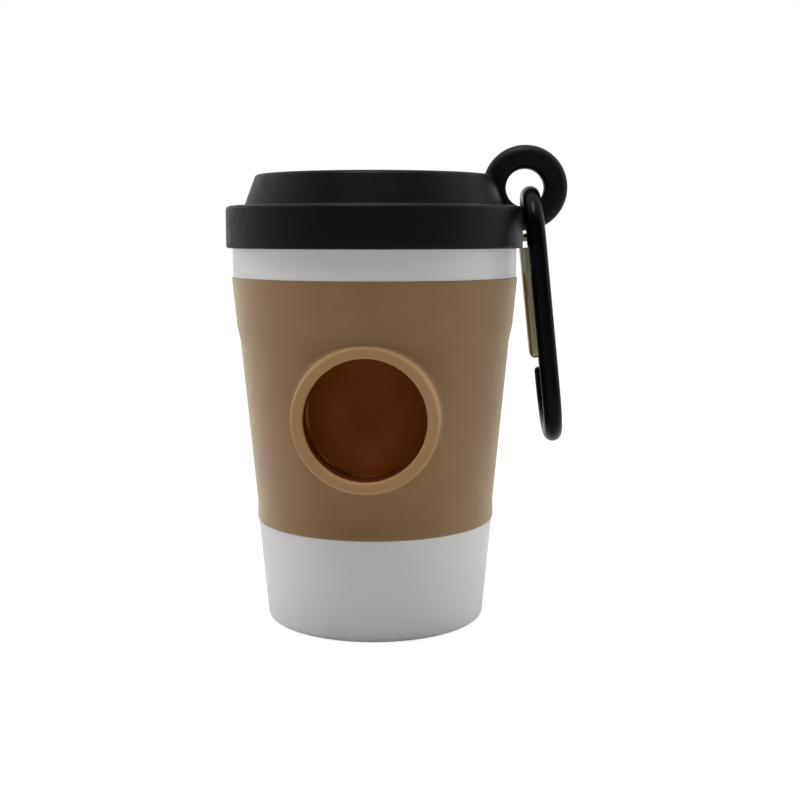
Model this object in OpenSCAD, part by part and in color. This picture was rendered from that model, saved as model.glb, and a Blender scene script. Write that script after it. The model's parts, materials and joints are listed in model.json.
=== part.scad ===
// Dispenser for rolls of pet waste bags, shaped like a takeaway coffee cup.
// A rigid white cup carries a silicone sleeve with the round bag window's ring, a darker
// silicone liner holds the bag roll and lines the window, and a pull-off lid closes the
// top and carries a small carabiner.
// Millimetres. +Z up, the origin on the cup's axis where the foot rests.
// The bag window faces -Y and the lid's loop stands at +X.

/* [Cup] */
// Outer diameter of the cup at its foot
foot_d = 42; // [40:0.1:52]
// Outer diameter of the cup's cone at the top edge of the sleeve
cone_top_d = 54.2; // [54.1:0.1:64]
// Outer diameter of the straight neck above the sleeve
neck_d = 54; // [52:0.1:54]
// Height of the cup's rim above the foot
cup_h = 77; // [75:0.5:95]
// Wall of the cup under the sleeve
cup_wall = 1.6; // [1.2:0.1:1.8]
// Thickness of the cup's floor
cup_floor = 1.6; // [1.2:0.1:3]
// Radius that rounds the foot's outer edge
foot_round = 1; // [0.5:0.1:2]
// Depth of the hollow under the foot
foot_hollow = 1; // [0.4:0.1:1.5]
// Width of the ring that the cup stands on
foot_ring = 3; // [2:0.1:5]
// Wall of the neck at the cup's rim
neck_wall = 1.5; // [1.2:0.1:2]
// Depth by which the neck steps in where the lid covers it
neck_relief = 0.2; // [0.1:0.05:0.4]
// Radius of the bead that grips the lid
bead_r = 0.8; // [0.5:0.1:1.2]
// Depth of the bead's middle below the cup's rim
bead_drop = 2.4; // [1.6:0.1:3]

/* [Sleeve] */
// Height of the sleeve's lower edge above the foot
sleeve_z0 = 19.5; // [12:0.5:24]
// Height of the sleeve's upper edge above the foot
sleeve_z1 = 66; // [60:0.5:70]
// Depth of the seat that the cup has for the sleeve
sleeve_seat = 1.2; // [0.8:0.1:1.6]
// How far the sleeve's flared ends stand proud of the cup's cone
sleeve_proud = 0.15; // [0.05:0.05:0.5]
// How far the sleeve draws in under the cup's cone between its flared ends
sleeve_waist = 0.2; // [0:0.05:0.4]
// Height of the sleeve's flared upper end
flare_top = 8.5; // [4:0.5:10]

/* [Bag window] */
// Height of the window's middle above the foot
window_z = 41.8; // [36:0.5:46]
// Clear diameter of the window
window_d = 21.8; // [16:0.2:24]
// Width of the raised ring's flat face
ring_w = 2.1; // [2:0.1:4]
// Distance from the cup's axis to the ring's flat face
ring_face = 27; // [26.8:0.1:28.4]
// Radius on both edges of the ring's face
ring_round = 0.6; // [0.3:0.1:0.9]
// Thickness of the ring's lip in front of the liner's collar
ring_lip = 1; // [0.8:0.1:2]

/* [Liner] */
// Wall of the liner
liner_wall = 1; // [0.6:0.1:1.4]
// Wall of the liner's collar, which lines the window through the cup
collar_wall = 1.2; // [0.8:0.1:1.4]
// Depth of the liner's rim below the cup's rim
liner_drop = 1; // [0.5:0.1:3]

/* [Lid] */
// Outer diameter of the lid's band
band_d = 56.4; // [56:0.1:62]
// Height of the lid's lower edge above the foot
band_z0 = 71.45; // [69:0.05:72]
// Height of the band's top edge above the cup's rim
band_rise = 2.3; // [1.8:0.1:4]
// Radius on the band's upper edge
band_round = 0.9; // [0.4:0.1:1.2]
// Radius on the band's lower edge
band_foot_round = 0.4; // [0.2:0.1:0.5]
// Diameter of the lid's dome where it leaves the band
dome_base_d = 49.4; // [46:0.2:52]
// Diameter of the dome at its top
dome_top_d = 45; // [42:0.2:46]
// Height of the dome above the band
dome_h = 5.8; // [4:0.1:8]
// Radius on the dome's top edge
dome_round = 0.8; // [0.4:0.1:1]
// Width of the rim round the sunk top
dome_rim = 2.4; // [2:0.1:4]
// Depth of the sunk top
sunk_depth = 1.5; // [0.5:0.1:2]
// Thickness of the lid's top
lid_top = 1.5; // [1:0.1:2]
// Wall between the lid's hollow and the foot of its dome
dome_wall = 3.8; // [2.6:0.1:4]

/* [Lid loop] */
// Outer diameter of the loop
loop_d = 16; // [14:0.2:20]
// Diameter of the loop's hole
loop_hole_d = 7.2; // [6.8:0.1:8]
// Thickness of the loop
loop_t = 5; // [4:0.1:6]
// Distance from the band's side in to the loop's middle, along X
loop_inset = -0.25; // [-1:0.05:2]
// Height of the loop's middle above the band's top edge
loop_rise = 3.4; // [3.3:0.1:5]
// Radius on the loop's outer edges
loop_round = 1.8; // [0.8:0.1:2]
// Radius on the edges of the loop's hole
hole_round = 1.2; // [0.8:0.1:1.4]

/* [Carabiner] */
// Overall length of the carabiner
clip_l = 48.7; // [47.5:0.1:60]
// Overall width of the carabiner
clip_w = 24; // [22:0.5:30]
// Diameter of the carabiner's round bar
clip_bar = 3.45; // [3:0.05:3.5]
// Radius of the bar's middle line round the four bends
clip_bend = 9; // [7.5:0.1:9.5]
// Angle by which the carabiner leans away from the cup
clip_lean = 6.1; // [5:0.1:12]
// Distance from the loop's middle out to the bow's bar, along X
bow_out = 0.96; // [0.8:0.02:1.2]
// Distance from the loop's middle down to the bow's bar
bow_drop = 1.36; // [1.2:0.02:1.4]

/* [Gate] */
// Distance from the bow's middle line down to the rivet
rivet_drop = 7.9; // [7.5:0.1:9]
// Distance from the rivet down to the gate's free end
gate_l = 24.1; // [20:0.1:28]
// Width of the gate over both cheeks
gate_w = 4.8; // [4.4:0.1:5.2]
// Depth of the gate's channel, seen from the side
gate_depth = 3.6; // [3.4:0.1:4.2]
// Thickness of the gate's sheet
gate_sheet = 0.6; // [0.4:0.05:0.7]
// Gap between the gate's free end and the carabiner's nose
nose_gap = 1.8; // [0.8:0.1:2.5]
// Thickness of the nose's tongue
tongue_t = 1.4; // [1:0.1:1.8]
// Length of the tongue inside the gate
tongue_l = 2.8; // [2:0.1:4]
// Thickness of the flattened eye that the gate turns on
eye_t = 1.6; // [1.2:0.1:1.8]
// Diameter of the rivet's shank
rivet_d = 1.6; // [1.2:0.1:1.8]
// Diameter of the rivet's heads
rivet_head_d = 2.8; // [2.2:0.1:3.2]
// Height of the rivet's heads
rivet_head_h = 0.45; // [0.3:0.05:0.6]
// Diameter of the gate spring's wire
spring_wire = 0.35; // [0.25:0.05:0.4]
// Length of the spring's leg inside the gate
spring_leg = 5; // [4:0.1:7]

/* [Bag roll] */
// Diameter of a full roll of bags
roll_d = 31.4; // [24:0.2:32]
// Width of the film on the roll
roll_h = 60; // [50:0.5:62]
// Outer diameter of the cardboard core
core_d = 15; // [12:0.2:18]
// Wall of the cardboard core
core_wall = 1.1; // [0.8:0.1:2]
// Thickness of the last wrap of film, up to its free end
wrap_t = 0.25; // [0.15:0.05:0.5]

/* [Fits] */
// Gap round a silicone piece in its seat
soft_fit = 0.05; // [0.03:0.01:0.1]
// Gap between the neck and the lid's skirt
skirt_fit = 0.1; // [0.06:0.02:0.2]
// Gap between the cup's rim and the lid that rests on it
rim_gap = 0.1; // [0.05:0.05:0.3]
// Gap between the roll and the liner's floor
roll_gap = 0.3; // [0.2:0.05:0.5]
// Gap round the rivet in the gate and round the cheeks
pin_fit = 0.05; // [0.03:0.01:0.1]

/* [Hidden] */
$fn = 96;

over = 1;       // how far a cutter runs past what it cuts
far = 200;      // reach of a cutter that passes right through

cone_slope = (cone_top_d - foot_d) / 2 / sleeve_z1;
neck_r = neck_d / 2;
foot_r = foot_d / 2;
shell_t = sleeve_seat + cup_wall;
inner_foot_r = foot_r - shell_t;
inner_slope = (neck_r - neck_relief - neck_wall - inner_foot_r) / cup_h;
flare_run = 4;          // height over which the sleeve's ends flare out
floor_z = foot_hollow + cup_floor;
liner_floor_z = floor_z + soft_fit + liner_wall;
liner_top = cup_h - liner_drop;
window_r = window_d / 2;
ring_r = window_r + ring_w;
collar_r = window_r + collar_wall;
collar_end = ring_face - ring_lip;

band_r = band_d / 2;
skirt_r = neck_r + skirt_fit;
lid_seat_z = cup_h + rim_gap;
band_z1 = cup_h + band_rise;
dome_z1 = band_z1 + dome_h;
hollow_r = dome_base_d / 2 - dome_wall;
hollow_z = dome_z1 - sunk_depth - lid_top;
sunk_r = dome_top_d / 2 - dome_rim;

loop_x = band_r - loop_inset;
loop_z = band_z1 + loop_rise;

bar_r = clip_bar / 2;
side_u = (clip_w - clip_bar) / 2;
bend_u = side_u - clip_bend;
foot_up = clip_bar - clip_l;
rivet_up = -rivet_drop;
gate_end_up = rivet_up - gate_l;
nose_up = gate_end_up - nose_gap;
cheek_r = gate_depth / 2;
channel_u = side_u - cheek_r + gate_sheet;
eye_r = cheek_r - pin_fit;
eye_clear = 0.2;        // between the eye and the ends of the gate's web and of the bar
eye_lap = 4;            // degrees by which the flattened end runs into the round bar
tongue_inset = 0.5;     // of the tongue's outer edge from the bar's side
gate_fold_r = 0.9;      // outer radius of the gate's two folds
gate_end_r = 1.2;       // radius on the corners of the gate's free end, seen from the side
gate_web_r = 1.4;       // radius on the corners of the web's free end
nose_round = 0.7;       // radius on the edge of the nose
shank_r = rivet_d / 2;
pin_hole_r = shank_r + pin_fit;
head_lap = 0.1;         // how far the rivet's shank runs into each head

wire_r = spring_wire / 2;
leg_r = wire_r - 0.01;  // a hair thinner than the coil, so that the two merge cleanly
leg_lean = 11;          // degrees by which the spring's long leg leans on the gate
coil_clear = 0.25;      // between the rivet's shank and the spring's coil
coil_pitch = spring_wire * 0.94;

wrap_start = 70;        // degrees round the roll where the last wrap's free end lies
wrap_turn = 330;

// Outer radius of the cup's cone at height z
function cone_r(z) = foot_r + cone_slope * z;

// Radius of the cup's hollow at height z
function inner_r(z) = inner_foot_r + inner_slope * z;

// What a round of radius r takes off the corner p between the edge directions a and b
module corner_cut(p, a, b, r) {
    half = acos(a * b) / 2;
    middle = (a + b) / norm(a + b);
    centre = p + middle * r / sin(half);
    difference() {
        polygon([p + a * r / tan(half), p - middle * r, p + b * r / tan(half), centre]);
        translate(centre) circle(r);
    }
}

// Solid of revolution out to the cone, shifted outwards by out, between two heights
module cone_solid(z0, z1, out) {
    translate([0, 0, z0])
        cylinder(h = z1 - z0, r1 = cone_r(z0) + out, r2 = cone_r(z1) + out);
}

// Solid of revolution inside the cup's wall, shifted outwards by out, between two heights
module hollow_solid(z0, z1, out) {
    translate([0, 0, z0])
        cylinder(h = z1 - z0, r1 = inner_r(z0) + out, r2 = inner_r(z1) + out);
}

// Point on the sleeve's outer face at height z, shifted outwards from the cone by out
function on_sleeve(z, out) = [cone_r(z) + out, z];

// Sleeve without its ring and its hollow: a cone with a drawn-in waist and flared ends
module sleeve_blank() {
    z0 = sleeve_z0 + soft_fit;
    z1 = sleeve_z1 - soft_fit;
    rotate_extrude()
        polygon([
            [0, z0], on_sleeve(z0, sleeve_proud),
            on_sleeve(z0 + flare_run, -sleeve_waist),
            on_sleeve(z1 - flare_top - flare_run, -sleeve_waist),
            on_sleeve(z1 - flare_top, sleeve_proud), on_sleeve(z1, sleeve_proud), [0, z1]
        ]);
}

// Round bar along -Y, through the window's middle
module window_bar(r) {
    translate([0, 0, window_z]) rotate([90, 0, 0]) cylinder(h = far, r = r);
}

// Half section of the cup, with the sleeve's seat and the stepped neck
module cup_section() {
    slant = [cone_slope, 1] / norm([cone_slope, 1]);
    neck_in = neck_r - neck_relief;
    difference() {
        polygon([
            [0, 0], [foot_r, 0],
            [cone_r(sleeve_z0), sleeve_z0], [cone_r(sleeve_z0) - sleeve_seat, sleeve_z0],
            [cone_r(sleeve_z1) - sleeve_seat, sleeve_z1], [neck_r, sleeve_z1],
            [neck_r, band_z0 + bead_r], [neck_in, band_z0 + bead_r], [neck_in, cup_h], [0, cup_h]
        ]);
        corner_cut([foot_r, 0], [-1, 0], slant, foot_round);
        polygon([
            [-over, floor_z], [inner_r(floor_z), floor_z],
            [inner_r(cup_h), cup_h], [inner_r(cup_h), cup_h + over],
            [-over, cup_h + over]
        ]);
        translate([-over, -over]) square([foot_r - foot_ring + over, foot_hollow + over]);
    }
    intersection() {
        translate([neck_r - bead_r, cup_h - bead_drop]) circle(bead_r);
        translate([neck_in - bead_r / 2, band_z0]) square([bead_r, cup_h - band_z0]);
    }
}

module cup_shell() {
    color("#f0efec")
        difference() {
            rotate_extrude() cup_section();
            window_bar(collar_r + soft_fit);
        }
}

// Solid of revolution about the window's axis: its height is the distance from the cup's axis
module window_turned() {
    translate([0, 0, window_z]) rotate([90, 0, 0]) rotate_extrude() children();
}

// Flat-faced disc that the window's ring is cut from
module ring_blank() {
    window_turned()
        difference() {
            square([ring_r, ring_face]);
            corner_cut([ring_r, ring_face], [-1, 0], [0, -1], ring_round);
        }
}

// Brown silicone sleeve and the window's raised ring in one piece. The ring's lip covers
// the end of the liner's collar.
module sleeve() {
    color("#b08c64")
        difference() {
            union() {
                sleeve_blank();
                ring_blank();
            }
            cone_solid(sleeve_z0 - over, sleeve_z1 + over, soft_fit - sleeve_seat);
            window_turned() {
                square([collar_r + soft_fit, collar_end]);
                square([window_r, far]);
                corner_cut([window_r, ring_face], [1, 0], [0, -1], ring_round);
            }
        }
}

// Darker silicone liner for the roll, with the collar that lines the window
module inner_liner() {
    color("#8a5a34")
        difference() {
            union() {
                hollow_solid(floor_z + soft_fit, liner_top, -soft_fit);
                window_turned() square([collar_r, collar_end - soft_fit]);
            }
            difference() {
                hollow_solid(floor_z, liner_top + over, -soft_fit - liner_wall);
                translate([0, 0, liner_floor_z - far]) cylinder(h = far, r = foot_r);
            }
            window_bar(window_r);
        }
}

// Half section of the lid's outside, from the axis to the band and up over the dome
module lid_section() {
    side = [dome_base_d - dome_top_d, -2 * dome_h] / norm([dome_base_d - dome_top_d, 2 * dome_h]);
    difference() {
        polygon([
            [0, band_z0], [band_r, band_z0], [band_r, band_z1], [dome_base_d / 2, band_z1],
            [dome_top_d / 2, dome_z1], [0, dome_z1]
        ]);
        corner_cut([band_r, band_z0], [-1, 0], [0, 1], band_foot_round);
        corner_cut([band_r, band_z1], [-1, 0], [0, -1], band_round);
        corner_cut([dome_top_d / 2, dome_z1], [-1, 0], side, dome_round);
        translate([-over, dome_z1 - sunk_depth]) square([sunk_r + over, sunk_depth + over]);
    }
}

// Upright ring with rounded edges, its hole along Y
module lid_loop() {
    r0 = loop_hole_d / 2;
    r1 = loop_d / 2;
    top = loop_t / 2;
    translate([loop_x, 0, loop_z])
        rotate([90, 0, 0])
            rotate_extrude()
                difference() {
                    translate([r0, -top]) square([r1 - r0, loop_t]);
                    for (s = [-1, 1]) {
                        corner_cut([r1, s * top], [-1, 0], [0, -s], loop_round);
                        corner_cut([r0, s * top], [1, 0], [0, -s], hole_round);
                    }
                }
}

module lid() {
    color("#1c1c1d")
        difference() {
            union() {
                rotate_extrude() lid_section();
                lid_loop();
            }
            translate([0, 0, band_z0 - over]) cylinder(h = lid_seat_z - band_z0 + over, r = skirt_r);
            cylinder(h = hollow_z, r = hollow_r);
            translate([loop_x, loop_t / 2, loop_z])
                rotate([90, 0, 0]) cylinder(h = loop_t, r = loop_hole_d / 2);
        }
}

// Places what is drawn in the carabiner's own frame: X across it, Y from its spine to its
// gate, Z up from the middle of the bow's bar
module hung() {
    translate([loop_x + bow_out, 0, loop_z - bow_drop]) rotate([0, -clip_lean, 0]) children();
}

// Turns a flat drawing, and its thickness, into the carabiner's plane
module in_plane() {
    rotate([90, 0, 90]) children();
}

// Slab of thickness t, centred on the carabiner's plane
module slab(t) {
    in_plane() linear_extrude(t, center = true) children();
}

// Round bar from one height to another beside the middle line
module upright_bar(u, low, high) {
    translate([0, u, low]) cylinder(h = high - low, r = bar_r);
}

// Round bar between two bends, at one height
module level_bar(up) {
    translate([0, -bend_u, up]) rotate([-90, 0, 0]) cylinder(h = 2 * bend_u, r = bar_r);
}

// Round bar bent about the point (u, up), from angle a0 through angle turn
module bent_bar(u, up, a0, turn) {
    in_plane()
        translate([u, up])
            rotate(a0) rotate_extrude(angle = turn) translate([clip_bend, 0]) circle(bar_r);
}

// Hole for the rivet, right through the eye or both cheeks
module pin_hole() {
    translate([0, side_u, rivet_up])
        rotate([0, 90, 0]) cylinder(h = far, r = pin_hole_r, center = true);
}

module carabiner_hook() {
    bow_end = asin((clip_bend - rivet_drop + eye_r + eye_clear) / clip_bend);
    color("#151515")
        hung() {
            difference() {
                union() {
                    upright_bar(-side_u, foot_up + clip_bend, -clip_bend);
                    bent_bar(-bend_u, -clip_bend, 90, 90);
                    level_bar(0);
                    bent_bar(bend_u, -clip_bend, 90, bow_end - 90);
                    bent_bar(-bend_u, foot_up + clip_bend, 180, 90);
                    level_bar(foot_up);
                    bent_bar(bend_u, foot_up + clip_bend, 270, 90);
                    nose();
                    eye_plate(bow_end);
                    slab(tongue_t) tongue_outline();
                }
                pin_hole();
            }
        }
}

// Straight bar up from the lower bend, rounded at its end
module nose() {
    translate([0, side_u, 0])
        rotate_extrude()
            difference() {
                translate([0, foot_up + clip_bend]) square([bar_r, nose_up - foot_up - clip_bend]);
                corner_cut([bar_r, nose_up], [-1, 0], [0, -1], nose_round);
            }
}

// Flattened end of the bow, with the eye that the gate turns on
module eye_plate(bow_end) {
    eye_a = asin((clip_bend - rivet_drop) / clip_bend);
    slab(eye_t) translate([side_u, rivet_up]) circle(eye_r);
    in_plane()
        translate([bend_u, -clip_bend])
            rotate(eye_a)
                rotate_extrude(angle = bow_end - eye_a + eye_lap)
                    translate([clip_bend - eye_r, -eye_t / 2]) square([2 * eye_r, eye_t]);
}

// Outline of the tongue that stands up from the nose into the gate
module tongue_outline() {
    u0 = channel_u + 2 * pin_fit;
    u1 = side_u + bar_r - tongue_inset;
    top = gate_end_up + tongue_l;
    difference() {
        translate([u0, nose_up - over]) square([u1 - u0, top - nose_up + over]);
        corner_cut([u1, top], [-1, 0], [0, -1], (u1 - u0) / 2);
        corner_cut([u0, top], [1, 0], [0, -1], (u1 - u0) / 3);
    }
}

module gate_rivet() {
    half = gate_w / 2 + pin_fit;
    head_r = rivet_head_d / 2;
    color("#c9cacc")
        hung()
            translate([0, side_u, rivet_up])
                rotate([0, 90, 0]) {
                    cylinder(h = 2 * (half + head_lap), r = shank_r, center = true);
                    for (s = [0, 1])
                        mirror([0, 0, s])
                            translate([0, 0, half])
                                cylinder(h = rivet_head_h, r1 = head_r, r2 = head_r - rivet_head_h);
                }
}

// Folded sheet channel, open towards the outside, with its cheeks on both sides of the eye
module carabiner_gate() {
    web_up = rivet_up - eye_r - eye_clear;
    web_u = side_u - cheek_r;
    inner_w = gate_w - 2 * gate_sheet;
    half = gate_w / 2;
    color("#c9cacc")
        hung()
            difference() {
                intersection() {
                    slab(gate_w) gate_outline();
                    translate([0, 0, gate_end_up - over])
                        linear_extrude(gate_l + 2 * cheek_r + over)
                            difference() {
                                translate([-half, web_u]) square([gate_w, gate_depth]);
                                for (s = [-1, 1])
                                    corner_cut([s * half, web_u], [-s, 0], [0, 1], gate_fold_r);
                            }
                }
                rotate([90, 0, 0])
                    linear_extrude(far, center = true)
                        for (s = [-1, 1])
                            corner_cut([s * half, gate_end_up], [-s, 0], [0, 1], gate_web_r);
                translate([-inner_w / 2, channel_u, gate_end_up - 2 * over]) cube([inner_w, far, far]);
                translate([-inner_w / 2, 0, web_up]) cube([inner_w, far, far]);
                pin_hole();
            }
}

// Side view of the gate: round at the rivet, straight, and rounded at its free end
module gate_outline() {
    u0 = side_u - cheek_r;
    u1 = side_u + cheek_r;
    translate([side_u, rivet_up]) circle(cheek_r);
    difference() {
        translate([u0, gate_end_up]) square([gate_depth, gate_l]);
        corner_cut([u0, gate_end_up], [1, 0], [0, 1], gate_end_r);
        corner_cut([u1, gate_end_up], [-1, 0], [0, 1], gate_end_r);
    }
}

// Torsion spring on the rivet, beside the eye, with a leg in the gate and one on the bow
module gate_spring() {
    coil_r = shank_r + coil_clear + wire_r;
    room = (gate_w - 2 * gate_sheet - eye_t) / 2;
    first = eye_t / 2 + (room - coil_pitch - spring_wire) / 2 + wire_r;
    color("#b9bbbe")
        hung()
            translate([0, side_u, rivet_up]) {
                for (i = [0, 1])
                    translate([first + i * coil_pitch, 0, 0])
                        rotate([0, 90, 0]) rotate_extrude() translate([coil_r, 0]) circle(wire_r);
                translate([first + coil_pitch, -coil_r, 0])
                    rotate([180 + leg_lean, 0, 0]) cylinder(h = spring_leg, r = leg_r);
                translate([first, coil_r, 0]) cylinder(h = eye_r, r = leg_r);
            }
}

module bag_roll() {
    z0 = liner_floor_z + roll_gap;
    color("#3b2413")
        translate([0, 0, z0])
            difference() {
                union() {
                    cylinder(h = roll_h, r = roll_d / 2 - wrap_t);
                    rotate(wrap_start) rotate_extrude(angle = wrap_turn)
                        translate([roll_d / 2 - 2 * wrap_t, 0]) square([2 * wrap_t, roll_h]);
                }
                translate([0, 0, -over]) cylinder(h = roll_h + 2 * over, r = core_d / 2 + soft_fit);
            }
}

module roll_core() {
    color("#9c7b55")
        translate([0, 0, liner_floor_z + roll_gap])
            difference() {
                cylinder(h = roll_h, r = core_d / 2);
                translate([0, 0, -over]) cylinder(h = roll_h + 2 * over, r = core_d / 2 - core_wall);
            }
}

cup_shell();
sleeve();
inner_liner();
lid();
carabiner_hook();
gate_rivet();
carabiner_gate();
gate_spring();
bag_roll();
roll_core();
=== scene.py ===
"""Looks of the dog waste bag dispenser: materials, smooth meshes, light and camera, in metres."""

import json
from math import asin, cos, pi, radians, sin, sqrt

import bmesh
import bpy
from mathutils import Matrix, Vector


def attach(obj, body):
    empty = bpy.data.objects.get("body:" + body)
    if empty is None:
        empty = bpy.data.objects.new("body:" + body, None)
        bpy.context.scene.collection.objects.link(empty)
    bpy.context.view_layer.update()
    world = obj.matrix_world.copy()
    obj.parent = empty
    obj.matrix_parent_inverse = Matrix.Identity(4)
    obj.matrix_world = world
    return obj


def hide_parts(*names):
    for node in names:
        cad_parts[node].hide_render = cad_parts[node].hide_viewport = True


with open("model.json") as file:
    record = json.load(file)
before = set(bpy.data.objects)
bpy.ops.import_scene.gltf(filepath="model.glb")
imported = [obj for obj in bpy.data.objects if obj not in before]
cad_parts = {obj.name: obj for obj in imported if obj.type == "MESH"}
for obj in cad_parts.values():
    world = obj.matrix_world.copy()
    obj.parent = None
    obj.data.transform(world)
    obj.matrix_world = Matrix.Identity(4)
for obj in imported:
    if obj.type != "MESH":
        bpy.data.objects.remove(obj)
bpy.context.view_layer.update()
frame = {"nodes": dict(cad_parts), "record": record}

MM = 0.001
WINDOW_Z = 41.8         # height of the window's middle, in millimetres
SHARP_DEG = 38          # edges that turn by more than this stay sharp
RAISED = "raised"       # mesh attribute that marks the window's ring

# ---------------------------------------------------------------- camera

LENS_MM = 56.25
SENSOR_MM = 36.0
CAMERA_AT = (16.69 * MM, -240.65 * MM, 74.25 * MM)
CAMERA_PITCH = radians(82.391)
CAMERA_TURN = radians(2.82)
CLIP_NEAR = 0.01
CLIP_FAR = 20

camera_data = bpy.data.cameras.new("camera")
camera_data.lens = LENS_MM
camera_data.sensor_width = SENSOR_MM
camera_data.clip_start = CLIP_NEAR
camera_data.clip_end = CLIP_FAR
camera = bpy.data.objects.new("camera", camera_data)
camera.location = CAMERA_AT
camera.rotation_euler = (CAMERA_PITCH, 0, CAMERA_TURN)
bpy.context.scene.collection.objects.link(camera)
bpy.context.scene.camera = camera
bpy.context.scene.view_settings.view_transform = "Standard"

# ---------------------------------------------------------------- small tools


def link(obj):
    """Puts a new object in the scene."""
    bpy.context.scene.collection.objects.link(obj)
    return obj


def linear(red, green, blue):
    """Linear colour of an sRGB colour written as 0 to 255."""
    def one(value):
        part = value / 255
        return part / 12.92 if part <= 0.04045 else ((part + 0.055) / 1.055) ** 2.4
    return (one(red), one(green), one(blue), 1)


def mesh_piece(name, verts, faces, merge=1e-7):
    """Object with a cleaned, smooth-shaded mesh of the given points and faces."""
    mesh = bpy.data.meshes.new(name)
    mesh.from_pydata(verts, [], faces)
    work = bmesh.new()
    work.from_mesh(mesh)
    bmesh.ops.remove_doubles(work, verts=work.verts, dist=merge)
    bmesh.ops.recalc_face_normals(work, faces=work.faces)
    for face in work.faces:
        face.smooth = True
    work.to_mesh(mesh)
    work.free()
    mesh.set_sharp_from_angle(angle=radians(SHARP_DEG))
    return link(bpy.data.objects.new(name, mesh))


def millimetres(points):
    """The points, given in millimetres, in the scene's metres."""
    return [(x * MM, y * MM, z * MM) for x, y, z in points]


def skin_faces(count, rows, closed, left_out=lambda i, following, j: False):
    """Faces between neighbours among count closed mesh lines of so many points each."""
    faces = []
    for i in range(count if closed else count - 1):
        following = (i + 1) % count
        for j in range(rows):
            if left_out(i, following, j):
                continue
            above = (j + 1) % rows
            here, there = i * rows, following * rows
            faces.append((here + j, there + j, there + above, here + above))
    return faces


def arc(centre, radius, start_deg, end_deg, steps):
    """Points of a circular arc in a flat section, both ends included."""
    turn = radians(end_deg - start_deg)
    return [(centre[0] + radius * cos(radians(start_deg) + turn * k / steps),
             centre[1] + radius * sin(radians(start_deg) + turn * k / steps)) for k in range(steps + 1)]


def lerp(a, b, t):
    return a + (b - a) * t


# ---------------------------------------------------------------- node materials


class Surface:
    """A node material with one Principled shader, and short calls for the nodes that feed it."""

    NOISE_LOW, NOISE_HIGH = 0.3, 0.7        # most of a noise texture's values lie between these
    BEVEL_SAMPLES = 6

    def __init__(self, name, colour, roughness, metallic=0.0, **sockets):
        self.material = bpy.data.materials.new(name)
        self.material.use_nodes = True
        self.tree = self.material.node_tree
        self.shader = self.tree.nodes["Principled BSDF"]
        self.shader.inputs["Base Color"].default_value = colour
        self.shader.inputs["Roughness"].default_value = roughness
        self.shader.inputs["Metallic"].default_value = metallic
        for key, value in sockets.items():
            self.shader.inputs[key.replace("_", " ")].default_value = value
        self.place = self.node("ShaderNodeTexCoord").outputs["Object"]
        self.height = None

    def node(self, kind, **values):
        made = self.tree.nodes.new(kind)
        for key, value in values.items():
            setattr(made, key, value)
        return made

    def wire(self, source, target):
        self.tree.links.new(source, target)

    def noise(self, size, detail=3.0, stretch=(1, 1, 1)):
        """Noise whose grain is about size metres across."""
        scale = self.node("ShaderNodeMapping")
        scale.inputs["Scale"].default_value = [s / size for s in stretch]
        self.wire(self.place, scale.inputs["Vector"])
        made = self.node("ShaderNodeTexNoise")
        made.inputs["Scale"].default_value = 1.0
        made.inputs["Detail"].default_value = detail
        self.wire(scale.outputs["Vector"], made.inputs["Vector"])
        return made.outputs["Fac"]

    def remap(self, source, low, high):
        """Spreads the middle of a noise over low to high."""
        made = self.node("ShaderNodeMapRange")
        made.inputs["From Min"].default_value = self.NOISE_LOW
        made.inputs["From Max"].default_value = self.NOISE_HIGH
        made.inputs["To Min"].default_value = low
        made.inputs["To Max"].default_value = high
        self.wire(source, made.inputs["Value"])
        return made.outputs["Result"]

    def tint(self, source, dark, light):
        """Base colour that runs from dark to light with the source."""
        mix = self.node("ShaderNodeMix", data_type="RGBA")
        mix.inputs["A"].default_value = dark
        mix.inputs["B"].default_value = light
        self.wire(self.remap(source, 0, 1), mix.inputs["Factor"])
        self.wire(mix.outputs["Result"], self.shader.inputs["Base Color"])

    def lighten(self, attribute, factors):
        """Multiplies the base colour by the three factors where the mesh's attribute is 1."""
        mark = self.node("ShaderNodeAttribute", attribute_name=attribute)
        mix = self.node("ShaderNodeMix", data_type="RGBA", blend_type="MULTIPLY", clamp_result=False)
        mix.inputs["B"].default_value = (*factors, 1)
        self.wire(mark.outputs["Fac"], mix.inputs["Factor"])
        self.wire(self.shader.inputs["Base Color"].links[0].from_socket, mix.inputs["A"])
        self.wire(mix.outputs["Result"], self.shader.inputs["Base Color"])

    def less_sheen(self, attribute, low, high):
        """Sheen of weight high, which falls to low where the mesh's attribute is 1."""
        mark = self.node("ShaderNodeAttribute", attribute_name=attribute)
        made = self.node("ShaderNodeMapRange")
        made.inputs["To Min"].default_value = high
        made.inputs["To Max"].default_value = low
        self.wire(mark.outputs["Fac"], made.inputs["Value"])
        self.wire(made.outputs["Result"], self.shader.inputs["Sheen Weight"])

    def rough(self, source, low, high):
        self.wire(self.remap(source, low, high), self.shader.inputs["Roughness"])

    def bump(self, source, depth, strength=1.0):
        """Adds relief of about depth metres."""
        made = self.node("ShaderNodeBump")
        made.inputs["Distance"].default_value = depth
        made.inputs["Strength"].default_value = strength
        self.wire(source, made.inputs["Height"])
        if self.height:
            self.wire(self.height, made.inputs["Normal"])
        self.height = made.outputs["Normal"]
        self.wire(self.height, self.shader.inputs["Normal"])

    def soft_edges(self, radius):
        """Rounds the look of sharp edges and inner corners."""
        made = self.node("ShaderNodeBevel")
        made.samples = self.BEVEL_SAMPLES
        made.inputs["Radius"].default_value = radius
        self.height = made.outputs["Normal"]
        self.wire(self.height, self.shader.inputs["Normal"])


def shade(colour, factor):
    """The colour made darker or lighter by a factor."""
    return (colour[0] * factor, colour[1] * factor, colour[2] * factor, 1)


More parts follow.
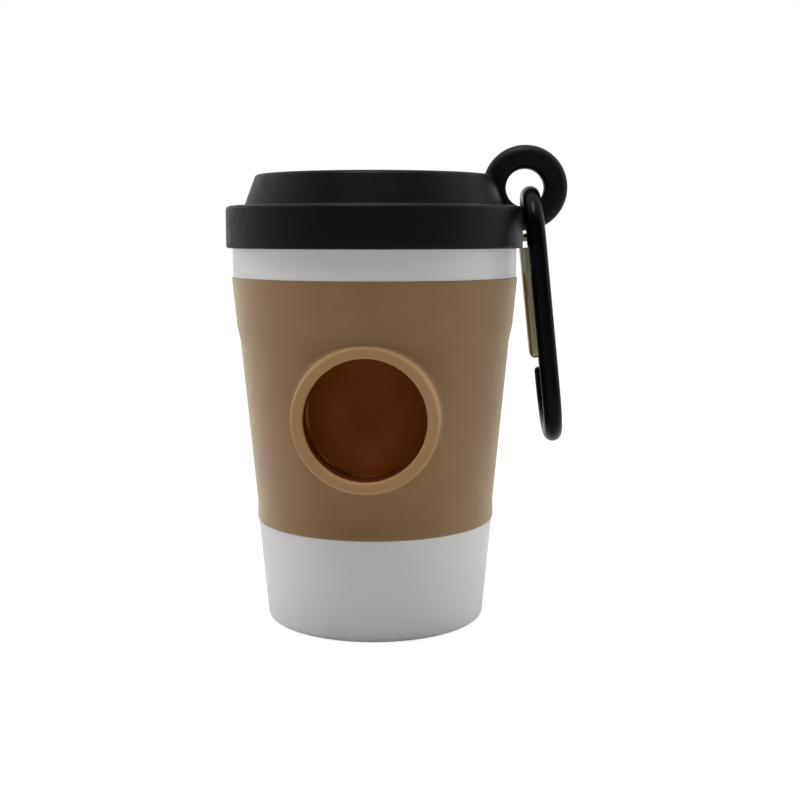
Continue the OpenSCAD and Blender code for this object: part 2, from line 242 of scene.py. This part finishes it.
def white_plastic():
    base = linear(226, 225, 223)
    made = Surface("white_plastic", base, 0.34, Specular_IOR_Level=0.45)
    made.soft_edges(0.2 * MM)
    made.tint(made.noise(9 * MM), shade(base, 0.985), base)
    made.rough(made.noise(3 * MM), 0.31, 0.38)
    made.bump(made.noise(1.6 * MM), 0.004 * MM)
    return made.material


def brown_silicone():
    """The sleeve's silicone, with a lighter and less downy ring round the window."""
    base = linear(141, 106, 66)
    made = Surface("brown_silicone", base, 0.55, Specular_IOR_Level=0.35,
                   Sheen_Roughness=0.45, Sheen_Tint=(1, 0.94, 0.74, 1))
    made.tint(made.noise(5 * MM, 4), shade(base, 0.96), shade(base, 1.03))
    made.lighten(RAISED, factors=(1.58, 1.66, 1.9))
    made.less_sheen(RAISED, low=0.1, high=0.7)
    made.rough(made.noise(2 * MM), 0.48, 0.6)
    made.bump(made.noise(0.28 * MM, 2), 0.012 * MM)
    return made.material


def liner_silicone():
    base = linear(100, 48, 16)
    made = Surface("liner_silicone", base, 0.6, Specular_IOR_Level=0.2)
    made.tint(made.noise(4 * MM), shade(base, 0.93), shade(base, 1.05))
    made.bump(made.noise(0.3 * MM, 2), 0.012 * MM)
    return made.material


def black_lid():
    base = (0.0045, 0.0045, 0.005, 1)
    made = Surface("black_lid", base, 0.46, Specular_IOR_Level=0.125)
    made.soft_edges(0.35 * MM)
    made.tint(made.noise(6 * MM), shade(base, 0.85), shade(base, 1.2))
    made.rough(made.noise(2.2 * MM), 0.42, 0.52)
    made.bump(made.noise(0.22 * MM, 2), 0.006 * MM)
    return made.material


def black_anodised():
    base = (0.002, 0.0019, 0.0019, 1)
    made = Surface("black_anodised", base, 0.26, Specular_IOR_Level=0.07)
    made.soft_edges(0.25 * MM)
    made.tint(made.noise(3 * MM), shade(base, 0.8), shade(base, 1.3))
    made.rough(made.noise(1.2 * MM, 3, (1, 1, 0.2)), 0.2, 0.32)
    made.bump(made.noise(0.5 * MM, 3, (1, 1, 0.25)), 0.003 * MM)
    return made.material


def bright_steel():
    # warm khaki base colour: painted reflection of the brown sleeve in the polished gate, over the
    # steel's grey
    base = (0.4, 0.37, 0.27, 1)
    made = Surface("bright_steel", base, 0.3, 1.0)
    made.soft_edges(0.12 * MM)
    made.tint(made.noise(2 * MM), shade(base, 0.94), base)
    made.rough(made.noise(0.6 * MM, 3, (1, 1, 0.08)), 0.26, 0.4)
    made.bump(made.noise(0.3 * MM, 3, (1, 1, 0.05)), 0.0015 * MM)
    return made.material


def spring_steel():
    base = (0.42, 0.42, 0.43, 1)
    made = Surface("spring_steel", base, 0.28, 1.0)
    made.rough(made.noise(0.5 * MM), 0.22, 0.36)
    return made.material


def bag_film():
    base = linear(92, 44, 12)
    # the emission is painted light: a glow that evens out the shade deep inside the window
    made = Surface("bag_film", base, 0.6, Specular_IOR_Level=0.06, Emission_Color=linear(49, 22, 5),
                   Emission_Strength=1.0)       # painted glow: emission that lifts the shade on the roll inside the window
    made.tint(made.noise(5 * MM, 4, (1, 1, 0.35)), shade(base, 0.88), shade(base, 1.08))
    made.rough(made.noise(3 * MM, 3, (1, 1, 0.4)), 0.42, 0.58)
    made.bump(made.noise(2.4 * MM, 3, (1, 1, 0.3)), 0.05 * MM)
    return made.material


def cardboard():
    base = linear(168, 134, 98)
    made = Surface("cardboard", base, 0.85, Specular_IOR_Level=0.2)
    made.tint(made.noise(0.9 * MM, 5), shade(base, 0.8), shade(base, 1.1))
    made.bump(made.noise(0.35 * MM, 4), 0.03 * MM)
    return made.material


def floor_material():
    """Pale floor that reads as white, and keeps a soft part of the object's shadow."""
    made = Surface("floor", (FLOOR_GREY, FLOOR_GREY, FLOOR_GREY, 1), 0.9, Specular_IOR_Level=0.0)
    out = made.tree.nodes["Material Output"]
    path = made.node("ShaderNodeLightPath")
    seen = made.node("ShaderNodeMath", operation="MAXIMUM")
    made.wire(path.outputs["Is Camera Ray"], seen.inputs[0])
    made.wire(path.outputs["Is Transmission Ray"], seen.inputs[1])
    share = made.node("ShaderNodeMath", operation="MULTIPLY")
    share.inputs[1].default_value = FLOOR_WHITE
    made.wire(seen.outputs[0], share.inputs[0])
    glow = made.node("ShaderNodeEmission")
    glow.inputs["Strength"].default_value = FLOOR_GLOW
    mix = made.node("ShaderNodeMixShader")
    made.wire(share.outputs[0], mix.inputs["Fac"])
    made.wire(made.shader.outputs[0], mix.inputs[1])
    made.wire(glow.outputs[0], mix.inputs[2])
    made.wire(mix.outputs[0], out.inputs["Surface"])
    return made.material


# ---------------------------------------------------------------- studio

FLOOR_GREY = 0.72       # how much light the floor gives back
FLOOR_WHITE = 0.72      # share of plain white in what the camera sees of the floor
FLOOR_GLOW = 1.22       # level of that white
FLOOR_HALF = 3.0
ROOM_FRONT = 0.0        # level of the room's light from the window's side
ROOM_BACK = 1.35        # level of the white surround behind and beside the object
ROOM_SHINE = 1.2        # level at which glossy surfaces show the surround
ROOM_FADE = (-0.4, -0.1)    # from where to where, towards the back, the room turns white
LAMP_AIM = (0, 0, 0.045)
TOP_AT = (-0.04, -0.12, 0.6)
TOP_SIZE = 0.2
TOP_WATTS = 1.75
FILL_RING = 8.4 * MM    # radius of the ring of small lamps in the window, which face the roll
FILL_Y = -20.4 * MM
FILL_SIZE = 3 * MM
FILL_SPLAY = 30         # degrees by which each one turns outwards
FILL_UNIT = 1e-4        # watts for a level of 1
FILL_LEVELS = {0: 0.7, 180: 1.1, 225: 0.7, 270: 0.9, 315: 0.7}      # by angle round the window

floor_corners = [(x * FLOOR_HALF, y * FLOOR_HALF, 0) for x, y in ((-1, -1), (1, -1), (1, 1), (-1, 1))]
floor = mesh_piece("floor", floor_corners, [(0, 1, 2, 3)])
floor.data.materials.append(floor_material())


def room_light():
    """White surround: bright behind and beside the object, dark in front, and white to the camera."""
    world = bpy.data.worlds.new("room")
    bpy.context.scene.world = world
    world.use_nodes = True
    nodes = world.node_tree.nodes
    links = world.node_tree.links
    back = nodes["Background"]
    out = nodes["World Output"]
    place = nodes.new("ShaderNodeTexCoord")
    split = nodes.new("ShaderNodeSeparateXYZ")
    links.new(place.outputs["Generated"], split.inputs[0])
    fade = nodes.new("ShaderNodeMapRange")
    fade.interpolation_type = "SMOOTHSTEP"
    fade.inputs["From Min"].default_value = ROOM_FADE[0]
    fade.inputs["From Max"].default_value = ROOM_FADE[1]
    fade.inputs["To Min"].default_value = ROOM_FRONT
    links.new(split.outputs["Y"], fade.inputs["Value"])
    links.new(fade.outputs["Result"], back.inputs["Strength"])
    white = nodes.new("ShaderNodeBackground")
    path = nodes.new("ShaderNodeLightPath")
    level = nodes.new("ShaderNodeMapRange")
    level.inputs["To Min"].default_value = ROOM_BACK
    level.inputs["To Max"].default_value = ROOM_SHINE
    links.new(path.outputs["Is Glossy Ray"], level.inputs["Value"])
    links.new(level.outputs["Result"], fade.inputs["To Max"])
    seen = nodes.new("ShaderNodeMath")
    seen.operation = "MAXIMUM"
    links.new(path.outputs["Is Camera Ray"], seen.inputs[0])
    links.new(path.outputs["Is Transmission Ray"], seen.inputs[1])
    back.inputs["Color"].default_value = (1, 1, 1, 1)
    white.inputs["Color"].default_value = (1, 1, 1, 1)
    mix = nodes.new("ShaderNodeMixShader")
    links.new(seen.outputs[0], mix.inputs["Fac"])
    links.new(back.outputs[0], mix.inputs[1])
    links.new(white.outputs[0], mix.inputs[2])
    links.new(mix.outputs[0], out.inputs["Surface"])


room_light()


def soft_lamp(name, place, size, watts, in_reflections):
    """Square lamp that faces the object, and shows in glossy surfaces or not."""
    lamp = bpy.data.lights.new(name, "AREA")
    lamp.shape = "SQUARE"
    lamp.size = size
    lamp.energy = watts
    holder = link(bpy.data.objects.new(name, lamp))
    holder.location = place
    holder.visible_glossy = in_reflections
    aim = Vector(LAMP_AIM) - Vector(place)
    holder.rotation_euler = aim.to_track_quat("-Z", "Y").to_euler()
    return holder


soft_lamp("top", TOP_AT, TOP_SIZE, TOP_WATTS, True)
for turn, level in FILL_LEVELS.items():
    side, up = cos(radians(turn)), sin(radians(turn))
    place = (FILL_RING * side, FILL_Y, WINDOW_Z * MM + FILL_RING * up)
    fill = soft_lamp("window_fill", place, FILL_SIZE, level * FILL_UNIT, False)
    outward = Vector((side, 0, up)) * sin(radians(FILL_SPLAY))
    outward.y = cos(radians(FILL_SPLAY))
    fill.rotation_euler = outward.to_track_quat("-Z", "Y").to_euler()

# ---------------------------------------------------------------- sleeve, in millimetres

FOOT_R = 21.0           # radius of the cup's cone at the foot
CONE_SLOPE = 0.0924     # how far the cone widens per millimetre of height
SLEEVE_LOW = 19.55
SLEEVE_HIGH = 65.95
SLEEVE_PROUD = 0.15     # how far the flared ends stand proud of the cone
SLEEVE_WAIST = 0.2      # how far the sleeve draws in under the cone between them
FLARE_TOP = 8.5         # height of the flared upper end
FLARE_RUN = 4.0         # height over which each end flares out
SEAT_IN = 1.15          # depth of the sleeve's inner face inside the cup's cone
WINDOW_R = 10.9
POCKET_R = 12.15        # radius of the pocket that the sleeve's ring has for the liner's collar
RING_R = 13.0
RING_FACE = 27.0        # distance from the cup's axis to the ring's flat face
RING_LIP = 1.0          # thickness of the lip that covers the collar's end
RING_ROUND = 0.6
RING_FILLET = 1.1       # width of the soft hollow where the ring meets the sleeve
FILLET_SHARE = 0.9      # share of the ring's outer wall that the hollow may take
SLEEVE_EDGE = 0.2       # radius on the sleeve's upper and lower edges
POCKET_STEPS = 5        # points of a mesh line in the pocket,
LIP_STEPS = 2           # on the lip's inner wall,
ROUND_STEPS = 6         # on each rounding of the ring's face,
WALL_STEPS = 3          # on the ring's outer wall,
FILLET_STEPS = 6        # in the hollow,
OUTER_STEPS = 44        # on the sleeve's outer face,
EDGE_STEPS = 4          # on its edge
INNER_STEPS = 36        # and on its inner face
CROWDING = 1.2          # above 1, points lie closer together near the window
RAYS_TOP = 216          # mesh lines that end on the upper edge, and as many on the lower one
RAYS_SIDE = 96          # mesh lines that end on the seam at the back, from each side
SLEEVE_MERGE = 2e-6     # points closer than this, in metres, become one
RING_REACH = 0.01       # how far past the ring's radius a point still counts as the ring's


def cone_r(z):
    """Radius of the cup's cone at height z."""
    return FOOT_R + CONE_SLOPE * z


def ease(t):
    """Smooth step from 0 to 1."""
    t = min(max(t, 0), 1)
    return t * t * (3 - 2 * t)


def sleeve_out(z):
    """How far the sleeve's outer face stands out from the cone at height z."""
    low = 1 - ease((z - SLEEVE_LOW) / FLARE_RUN)
    high = ease((z - (SLEEVE_HIGH - FLARE_TOP - FLARE_RUN)) / FLARE_RUN)
    return lerp(-SLEEVE_WAIST, SLEEVE_PROUD, max(low, high))


def front_of(radius, x):
    """Distance towards the window, at the side distance x, of a round wall with that radius."""
    return sqrt(radius * radius - x * x)


def around(angle, z, radius):
    """Point at an angle from the window, round the cup's axis."""
    return (radius * sin(angle), -radius * cos(angle), z)


def window_rays(low, high):
    """For each mesh line: its direction from the window, and the angle and height where it ends."""
    middle = (low + high) / 2
    half = RAYS_SIDE // 2
    ends = [(pi, lerp(middle, high, k / half)) for k in range(half)]
    ends += [(lerp(pi, -pi, k / RAYS_TOP), high) for k in range(RAYS_TOP)]
    ends += [(-pi, lerp(high, middle, k / half)) for k in range(half)]
    ends += [(-pi, lerp(middle, low, k / half)) for k in range(half)]
    ends += [(lerp(-pi, pi, k / RAYS_TOP), low) for k in range(RAYS_TOP)]
    ends += [(pi, lerp(low, middle, k / half)) for k in range(half)]
    return [(2 * pi * k / len(ends), end) for k, end in enumerate(ends)]


def ring_section():
    """Window ring from the collar's wall over its flat face to its outer wall: radius and height."""
    top = RING_FACE - RING_ROUND
    inner = arc((WINDOW_R + RING_ROUND, top), RING_ROUND, 180, 90, ROUND_STEPS)
    outer = arc((RING_R - RING_ROUND, top), RING_ROUND, 90, 0, ROUND_STEPS)
    return inner + outer


def sleeve_line(turn, end):
    """One mesh line of the sleeve: out of the pocket, over the ring and along to the sleeve's edge."""
    side, up = cos(turn), sin(turn)
    end_angle, end_z = end

    def at(radius, depth):
        return (radius * side, -depth, WINDOW_Z + radius * up)

    def outer_depth(radius):
        z = WINDOW_Z + radius * up
        return front_of(cone_r(z) + sleeve_out(z), radius * side)

    inner_z = WINDOW_Z + POCKET_R * up
    inner_depth = front_of(cone_r(inner_z) - SEAT_IN, POCKET_R * side)
    lip_back, face_round = RING_FACE - RING_LIP, RING_FACE - RING_ROUND
    points = [at(POCKET_R, lerp(inner_depth, lip_back, k / (POCKET_STEPS - 1)))
              for k in range(POCKET_STEPS)]
    points += [at(WINDOW_R, lerp(lip_back, face_round, k / LIP_STEPS)) for k in range(LIP_STEPS)]
    points += [at(radius, depth) for radius, depth in ring_section()]

    base = outer_depth(RING_R)
    leg = min(RING_FILLET, FILLET_SHARE * (face_round - base))
    for k in range(1, WALL_STEPS + 1):
        points.append(at(RING_R, lerp(face_round, base + leg, k / WALL_STEPS)))
    far_radius = RING_R + RING_FILLET
    far_depth = outer_depth(far_radius)
    for k in range(1, FILLET_STEPS + 1):
        t = k / FILLET_STEPS
        radius = lerp(RING_R, far_radius, t * t)
        depth = (1 - t) ** 2 * (base + leg) + 2 * t * (1 - t) * base + t * t * far_depth
        points.append(at(radius, depth))

    start_z = WINDOW_Z + far_radius * up
    start_angle = asin(far_radius * side / (cone_r(start_z) + sleeve_out(start_z)))
    outer_z = min(max(end_z, SLEEVE_LOW + SLEEVE_EDGE), SLEEVE_HIGH - SLEEVE_EDGE)
    for k in range(1, OUTER_STEPS + 1):
        t = (k / OUTER_STEPS) ** CROWDING
        z = lerp(start_z, outer_z, t)
        points.append(around(lerp(start_angle, end_angle, t), z, cone_r(z) + sleeve_out(z)))

    outer_radius = cone_r(outer_z) + sleeve_out(outer_z) - SLEEVE_EDGE
    sign = 1 if end_z > WINDOW_Z else -1
    for radius, rise in arc((outer_radius, 0), SLEEVE_EDGE, 0, 90, EDGE_STEPS)[1:]:
        z = outer_z + sign * rise if outer_z != end_z else end_z
        points.append(around(end_angle, z, radius))

    start_angle = asin(POCKET_R * side / (cone_r(inner_z) - SEAT_IN))
    for k in range(INNER_STEPS):
        t = (1 - k / INNER_STEPS) ** CROWDING
        z = lerp(inner_z, end_z, t)
        points.append(around(lerp(start_angle, end_angle, t), z, cone_r(z) - SEAT_IN))
    return points


def sleeve():
    """The sleeve with its window ring, as one closed skin."""
    rays = window_rays(SLEEVE_LOW, SLEEVE_HIGH)
    lines = [sleeve_line(turn, end) for turn, end in rays]
    at_back = [abs(end_angle) == pi for _, (end_angle, _) in rays]
    rows = len(lines[0])
    through = range(rows - INNER_STEPS - EDGE_STEPS - 1, rows - INNER_STEPS)

    def wall_at_back(i, following, j):
        """Would run through the skin where its two sides meet at the back."""
        return j in through and at_back[i] and at_back[following]

    faces = skin_faces(len(lines), rows, True, wall_at_back)
    piece = mesh_piece("sleeve_skin", millimetres(sum(lines, [])), faces, SLEEVE_MERGE)
    mark = piece.data.attributes.new(RAISED, "FLOAT", "POINT")
    for i, vertex in enumerate(piece.data.vertices):
        x, y, z = vertex.co / MM
        away = sqrt(x * x + (z - WINDOW_Z) ** 2)
        on_ring = away < RING_R + RING_REACH and y < 0
        stand = -y - front_of(cone_r(z) + sleeve_out(z), x) if on_ring else 0
        mark.data[i].value = ease(stand / RING_FILLET)
    return piece


# ---------------------------------------------------------------- bag roll, in millimetres

ROLL_LOW = 3.95
ROLL_HIGH = 63.95
ROLL_R = 15.7
ROLL_HOLE_R = 7.56
WRAP_STEP = 0.25        # how far the last wrap stands out at its free end
RIM_IN = 0.3            # how far inside the skin the outermost film edge lies
SKIN_IN = 0.25          # how far from each end of the roll the smooth skin starts
EDGE_DROP = 0.05        # depth of the film edges under the roll's ends
EDGE_EXTRA = 0.16       # how much deeper every second one lies
EDGE_WAVE = 0.1         # how much they wave
ROLL_MERGE = 1e-9       # in metres, as SLEEVE_MERGE
FREE_END_DEG = 250      # where the free end lies, measured from the window
CREASE = 0.07           # depth of the film's soft creases
ROLL_TURN_STEPS = 288
ROLL_RISE_STEPS = 60
LAYERS = 26             # film edges that stand up on each end of the roll


def crease(angle, z):
    """Shallow creases that run round and along the rolled film."""
    lengthwise = sin(9 * angle + 1.7 * sin(0.11 * z)) * sin(0.052 * z + 0.6)
    slanted = sin(4 * angle + 0.33 * z + 1.3 * sin(3 * angle))
    fine = sin(23 * angle - 0.21 * z) * sin(0.31 * z + 2 * sin(5 * angle))
    return CREASE * (0.5 * lengthwise + 0.3 * slanted + 0.2 * fine)


def end_points(angle, skin, place, waves, phase):
    """Film edges on one end of the roll, from the core outwards, with place(drop) for the height."""
    points = []
    for k in range(LAYERS + 1):
        radius = lerp(ROLL_HOLE_R, skin - RIM_IN, k / LAYERS)
        drop = EDGE_DROP + EDGE_EXTRA * (k % 2) + EDGE_WAVE * sin(waves * angle + k * phase)
        points.append(around(angle, place(max(drop, 0)), radius))
    return points


def film_roll():
    """Roll of bags: a wound skin with creases, a free end, and the film's edges on both ends."""
    free_end = radians(FREE_END_DEG)
    lines = []
    for i in range(ROLL_TURN_STEPS + 1):
        wound = i / ROLL_TURN_STEPS
        angle = free_end + 2 * pi * wound
        skin = ROLL_R - CREASE - WRAP_STEP * wound
        points = end_points(angle, skin, lambda drop: ROLL_LOW + drop, waves=7, phase=2.3)
        for k in range(ROLL_RISE_STEPS + 1):
            z = lerp(ROLL_LOW + SKIN_IN, ROLL_HIGH - SKIN_IN, k / ROLL_RISE_STEPS)
            points.append(around(angle, z, skin + crease(angle, z)))
        points += reversed(end_points(angle, skin, lambda drop: ROLL_HIGH - drop, waves=5, phase=1.9))
        lines.append(points)
    rows = len(lines[0])
    faces = skin_faces(len(lines), rows, False)
    last = ROLL_TURN_STEPS * rows
    for j in range(rows - 1):
        faces.append((last + j, j, j + 1, last + j + 1))
    return mesh_piece("film_roll", millimetres(sum(lines, [])), faces, ROLL_MERGE)


# ---------------------------------------------------------------- the object

SLOTS = {
    "white_plastic": white_plastic(),
    "brown_silicone": brown_silicone(),
    "liner_silicone": liner_silicone(),
    "black_lid": black_lid(),
    "black_anodised": black_anodised(),
    "bright_steel": bright_steel(),
    "spring_steel": spring_steel(),
    "bag_film": bag_film(),
    "cardboard": cardboard(),
}

for row in frame["record"]["subparts"]:
    shown = frame["nodes"][row["node"]].data
    shown.materials.clear()
    shown.materials.append(SLOTS[row["material_slot"]])

made_sleeve = sleeve()
made_sleeve.data.materials.append(SLOTS["brown_silicone"])
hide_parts("sleeve")
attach(made_sleeve, "cup")

made_roll = film_roll()
made_roll.data.materials.append(SLOTS["bag_film"])
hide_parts("bag_roll")
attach(made_roll, "roll")
